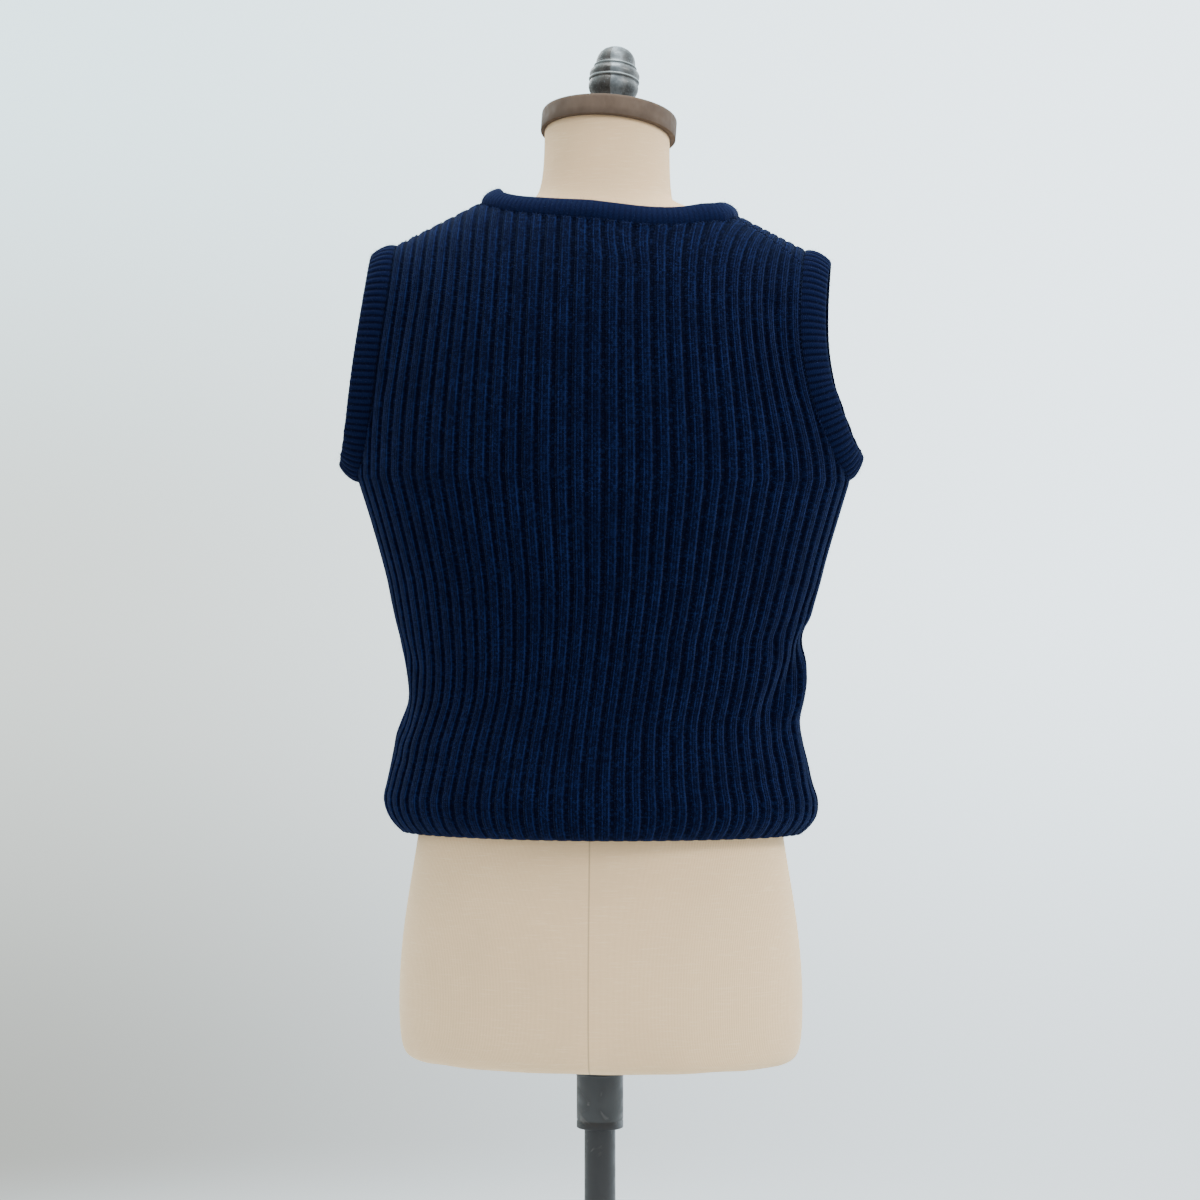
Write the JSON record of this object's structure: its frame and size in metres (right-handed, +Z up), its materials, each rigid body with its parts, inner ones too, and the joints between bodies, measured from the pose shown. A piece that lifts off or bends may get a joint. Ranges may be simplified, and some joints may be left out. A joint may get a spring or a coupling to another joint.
{
  "type": "ribbed sweater vest on a limbless dress form",
  "caption": "Sleeveless knitted sweater vest in wide rib with fine-rib neckband and armbands, worn by a padded limbless dress form on a pole stand with a round base.",
  "frame": {"origin": "on the floor, at the centre of the stand's flat base", "axes": "+Z up along the pole, -Y towards the front of the garment, +X towards the wearer's left"},
  "size_m": [0.475, 0.39, 1.367],
  "materials": {
    "rib_knit": "navy wool in a wide flat rib, faintly fuzzy",
    "fine_rib": "navy wool in a fine rib, doubled",
    "linen_cover": "natural linen, seamed and tight",
    "neck_cap": "brown satin paint, a little rubbed",
    "cast_finial": "grey cast metal, dull with bright edges",
    "black_stand": "black semi-gloss paint"
  },
  "bodies": {
    "root": {"vest_back": "rib_knit", "vest_front": "rib_knit", "neckband": "fine_rib", "armband_left": "fine_rib", "armband_right": "fine_rib", "form_torso": "linen_cover", "form_cap": "neck_cap", "form_finial": "cast_finial", "stand_socket": "black_stand", "stand_pole": "black_stand", "stand_base": "black_stand"}
  },
  "joints": []
}
